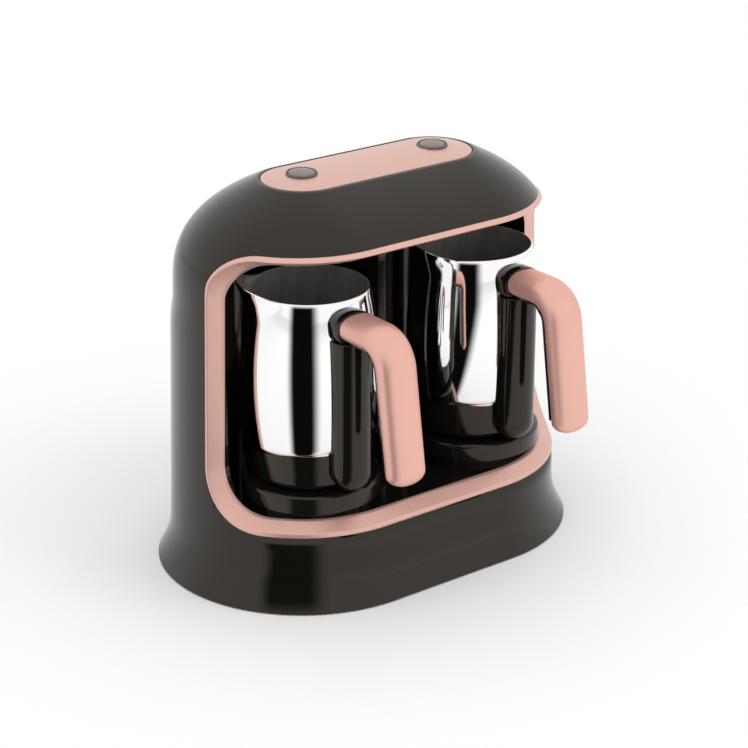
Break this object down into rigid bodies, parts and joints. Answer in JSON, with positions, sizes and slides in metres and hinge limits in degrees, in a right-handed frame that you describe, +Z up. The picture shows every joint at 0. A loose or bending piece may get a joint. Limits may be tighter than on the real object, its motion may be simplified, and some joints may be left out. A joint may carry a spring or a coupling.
{
  "type": "electric Turkish coffee maker",
  "caption": "Electric Turkish coffee maker: gloss black housing with an open bay, lift-out steel pots with rose handles, and push buttons on a domed top plate.",
  "frame": {"origin": "centre of the underside of the foot, on the counter plane", "axes": "+X to the right seen from the front, +Y to the back, +Z up; the front faces -Y"},
  "size_m": [0.2678, 0.2144, 0.2391],
  "materials": {
    "housing_gloss": "gloss",
    "liner_gloss": "gloss",
    "black_plastic": "matte",
    "handle_gloss": "gloss",
    "rose_metal": "satin",
    "rose_plate": "satin",
    "pot_steel": "polished",
    "button_metal": "satin",
    "bright_ring": "polished",
    "screw_steel": "satin",
    "spring_steel": "satin",
    "pad_rubber": "matte",
    "seal_rubber": "matte",
    "light_plastic": "matte",
    "board_green": "satin",
    "part_plastic": "matte",
    "relay_plastic": "satin",
    "lens_dark": "gloss",
    "contact_brass": "satin",
    "heater_aluminium": "satin",
    "core_iron": "satin",
    "wire_red": "satin",
    "cream_plastic": "matte"
  },
  "bodies": {
    "housing": {"main_housing": "housing_gloss", "rear_cover": "housing_gloss", "base_plate": "black_plastic", "foot_pads": "pad_rubber", "base_screws": "screw_steel", "rear_screws": "screw_steel", "opening_trim": "rose_metal", "bay_liner": "liner_gloss", "liner_screws": "screw_steel", "left_seat": "liner_gloss", "right_seat": "liner_gloss", "left_contact_block": "contact_brass", "right_contact_block": "contact_brass", "top_plate": "rose_plate", "button_bezels": "bright_ring", "light_rings": "light_plastic", "control_board": "board_green", "tact_switches": "part_plastic", "foam_sensors": "lens_dark", "power_board": "board_green", "transformer": "core_iron", "relays": "relay_plastic", "terminal_block": "cream_plastic", "buzzer": "part_plastic", "cord_gland": "pad_rubber", "wiring": "wire_red", "left_button_spring": "spring_steel", "right_button_spring": "spring_steel"},
    "left_button_body": {"left_button": "button_metal"},
    "right_button_body": {"right_button": "button_metal"},
    "left_pot": {"left_pot_steel": "pot_steel", "left_pot_cup": "handle_gloss", "left_pot_heater": "heater_aluminium", "left_pot_thermostat": "cream_plastic", "left_pot_contacts": "contact_brass", "left_pot_seal": "seal_rubber", "left_handle_pod": "handle_gloss", "left_handle_core": "handle_gloss", "left_handle_grip": "rose_metal", "left_handle_screws": "screw_steel"},
    "right_pot": {"right_pot_steel": "pot_steel", "right_pot_cup": "handle_gloss", "right_pot_heater": "heater_aluminium", "right_pot_thermostat": "cream_plastic", "right_pot_contacts": "contact_brass", "right_pot_seal": "seal_rubber", "right_handle_pod": "handle_gloss", "right_handle_core": "handle_gloss", "right_handle_grip": "rose_metal", "right_handle_screws": "screw_steel"}
  },
  "joints": [
    {"name": "left_button_press", "type": "slide", "parent": "housing", "child": "left_button_body", "axis": [0, 0.0175, -0.9998], "range_m": [0, 0.0015], "stiffness_N_per_m": 400, "springref_m": -0.001, "deforming": ["left_button_spring"]},
    {"name": "right_button_press", "type": "slide", "parent": "housing", "child": "right_button_body", "axis": [0, 0.0175, -0.9998], "range_m": [0, 0.0015], "stiffness_N_per_m": 400, "springref_m": -0.001, "deforming": ["right_button_spring"]},
    {"name": "left_pot_pull", "type": "slide", "parent": "housing", "child": "left_pot", "axis": [0, -1, 0], "range_m": [0, 0.16]},
    {"name": "right_pot_pull", "type": "slide", "parent": "housing", "child": "right_pot", "axis": [0, -1, 0], "range_m": [0, 0.16]}
  ]
}
